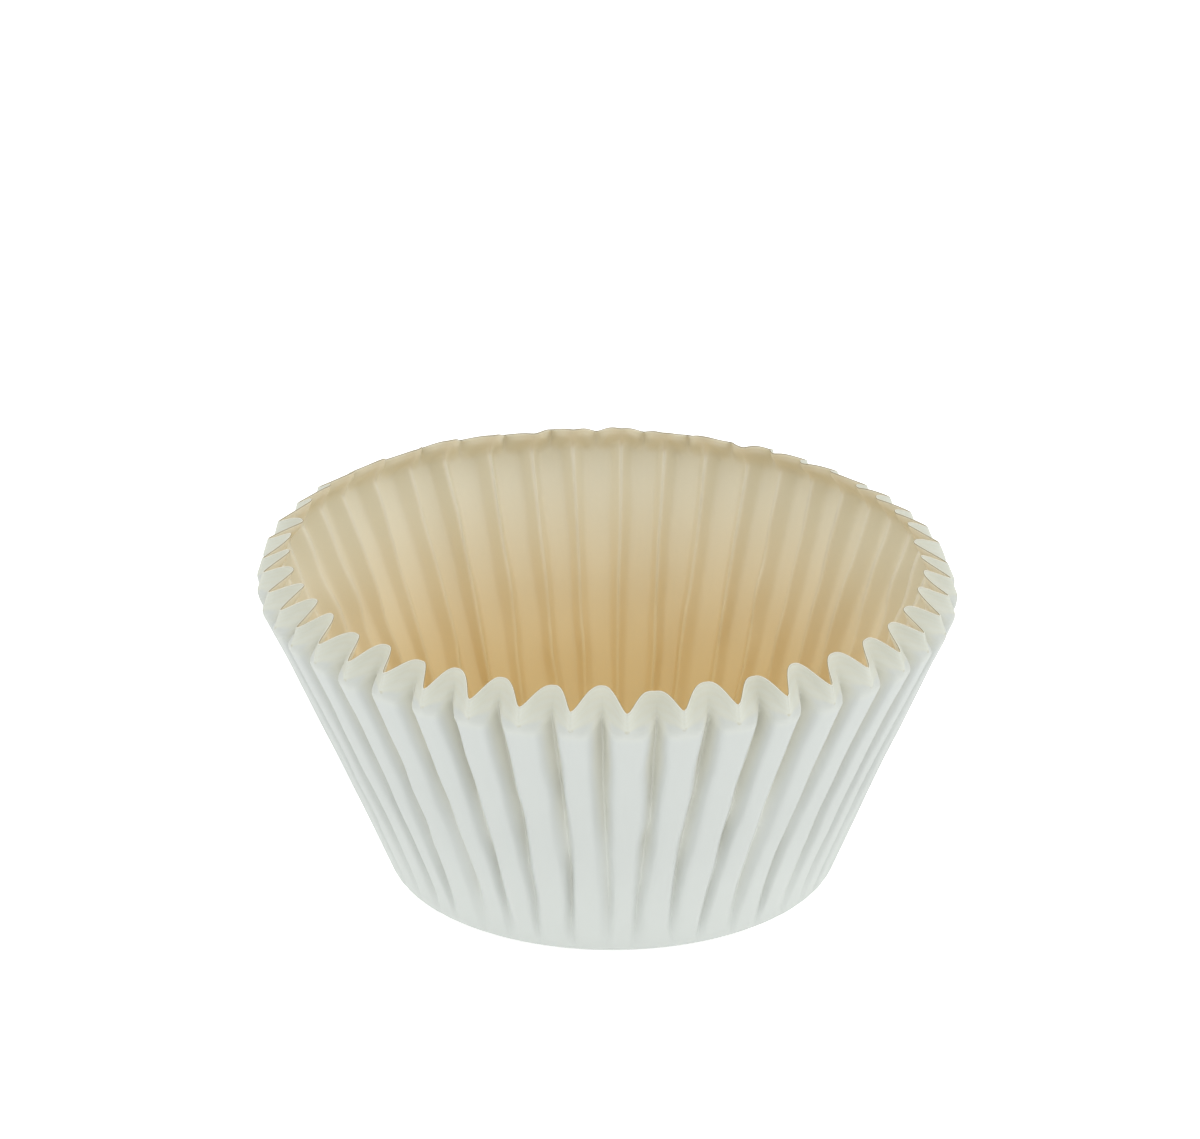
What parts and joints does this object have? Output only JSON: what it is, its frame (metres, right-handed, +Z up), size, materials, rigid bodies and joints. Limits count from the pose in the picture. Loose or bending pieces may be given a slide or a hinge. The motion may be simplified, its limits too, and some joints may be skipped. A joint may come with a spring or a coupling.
{
  "type": "cupcake liner",
  "caption": "Round paper baking cup with a flat base and a pleated, outward-leaning wall that ends in a scalloped rim.",
  "frame": {"origin": "centre of the underside of the base, on the surface that the liner stands on", "axes": "+Z up along the axis of the cup, -Y towards the front as the picture shows it, +X to its right"},
  "size_m": [0.0718, 0.0716, 0.0332],
  "materials": {
    "baking_paper": "matte uncoated greaseproof paper, warm white"
  },
  "bodies": {
    "root": {"liner": "baking_paper"}
  },
  "joints": []
}
